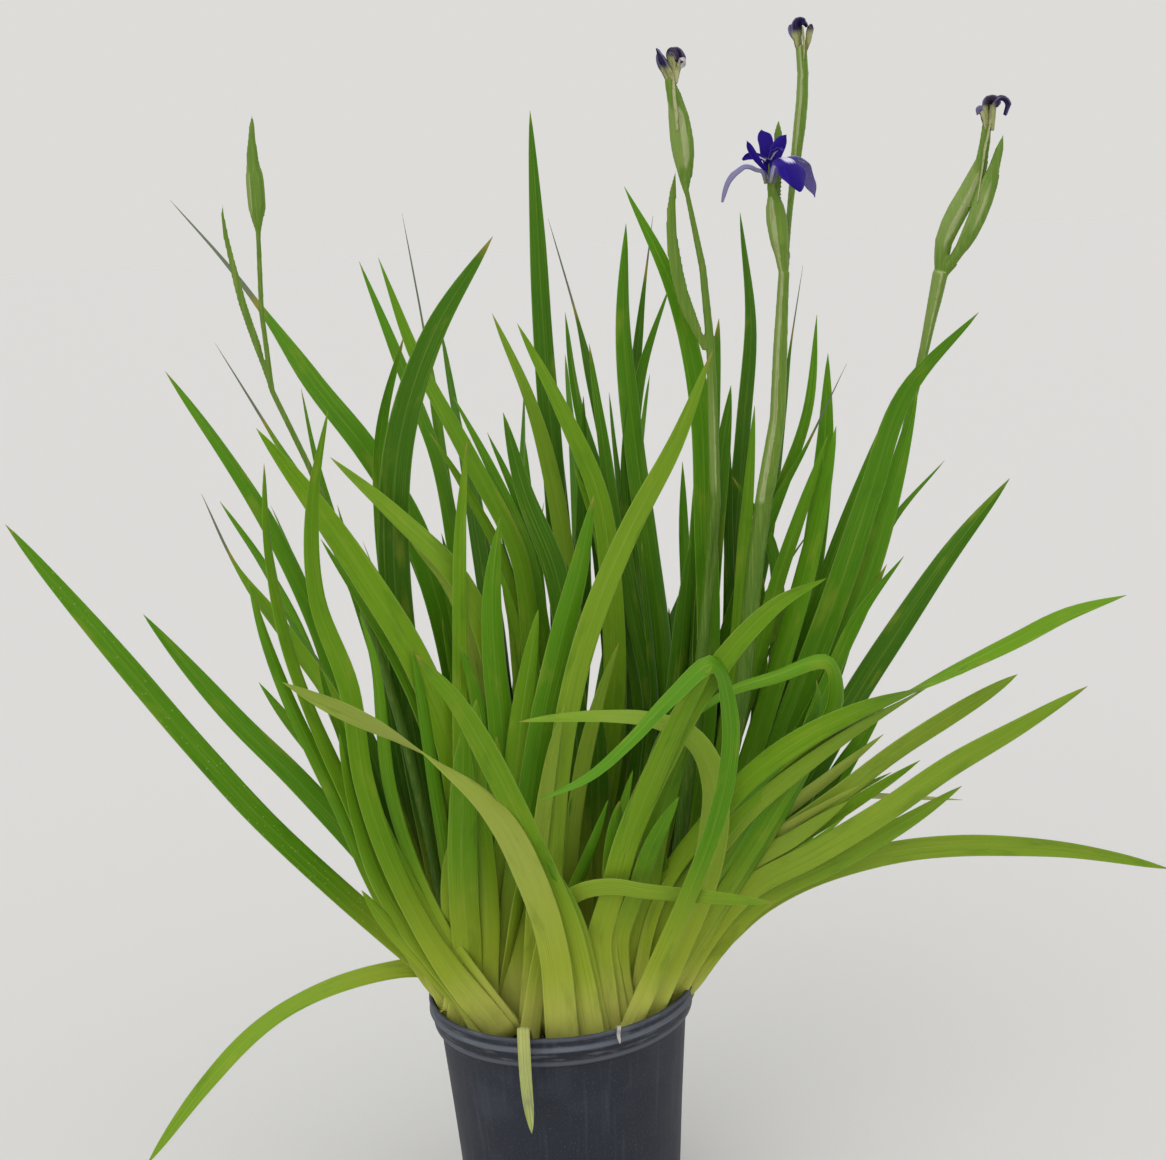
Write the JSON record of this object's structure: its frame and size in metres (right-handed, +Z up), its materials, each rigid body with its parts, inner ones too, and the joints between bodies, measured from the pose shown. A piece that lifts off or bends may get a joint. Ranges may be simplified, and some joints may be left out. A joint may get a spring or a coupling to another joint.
{
  "type": "potted iris",
  "caption": "Virginia blue flag iris in a round nursery pot: fans of tall sword leaves, upright flower stalks and one open violet flower.",
  "frame": {"origin": "middle of the pot's flat underside", "axes": "+Z up, -Y towards the side with the open flower seen in front, +X to the right of that view"},
  "size_m": [0.9112, 0.5832, 0.9959],
  "materials": {
    "pot": "moulded blue-black polyethylene, scuffed and dusty",
    "soil": "moist bark potting mix with fine roots",
    "leaf_green": "smooth waxy leaf, fine veins along it",
    "leaf_pale": "smooth waxy leaf, yellow-green",
    "leaf_dry": "dry papery leaf",
    "stalk": "smooth stalk and sheathing bracts",
    "petal": "soft violet petal with darker veins",
    "spent_bloom": "withered crumpled petal, grey violet"
  },
  "bodies": {
    "root": {"pot": "pot", "soil": "soil", "leaf_far_left": "leaf_green", "leaf_left_long": "leaf_green", "leaf_left_droop": "leaf_pale", "leaf_pale_front": "leaf_pale", "leaf_front_green": "leaf_green", "fan_left_front": "leaf_green", "fan_left_outer": "leaf_green", "fan_left_far": "leaf_green", "fan_left_diagonal": "leaf_green", "leaf_left_arching": "leaf_green", "leaf_left_dark": "leaf_green", "fan_left_back": "leaf_green", "leaf_long_crossing": "leaf_green", "fan_centre_left": "leaf_green", "leaf_centre_left": "leaf_green", "leaf_centre_tall": "leaf_green", "fan_centre_pale": "leaf_pale", "fan_centre_back": "leaf_green", "fan_centre": "leaf_green", "fan_centre_right": "leaf_green", "leaf_centre_right": "leaf_green", "leaf_light_crossing": "leaf_pale", "fan_right_broad": "leaf_green", "fan_right_tall": "leaf_green", "fan_right_mid": "leaf_green", "fan_right_lean": "leaf_green", "leaf_right_long": "leaf_green", "leaf_right_arch_high": "leaf_green", "fan_right_low": "leaf_green", "leaf_right_low_arch": "leaf_pale", "leaf_right_dry": "leaf_dry", "leaf_front_curl": "leaf_green", "leaf_front_bent": "leaf_green", "leaf_front_twisting": "leaf_green", "leaf_right_bent": "leaf_green", "leaf_front_low": "leaf_pale", "leaf_front_hanging": "leaf_dry", "fan_front_inner": "leaf_green", "fan_front_left": "leaf_green", "fan_front_right": "leaf_green", "fan_back_left": "leaf_green", "fan_back_right": "leaf_green", "stem_left_bud": "stalk", "stem_middle": "stalk", "stem_flower": "stalk", "stem_right": "stalk", "spent_bloom_middle": "spent_bloom", "spent_bloom_tall": "spent_bloom", "spent_bloom_right": "spent_bloom", "fall_left": "petal", "fall_front": "petal", "fall_back": "petal", "standard_left": "petal", "standard_back": "petal", "standard_right": "petal", "style_left": "petal", "style_front": "petal", "style_back": "petal"}
  },
  "joints": []
}
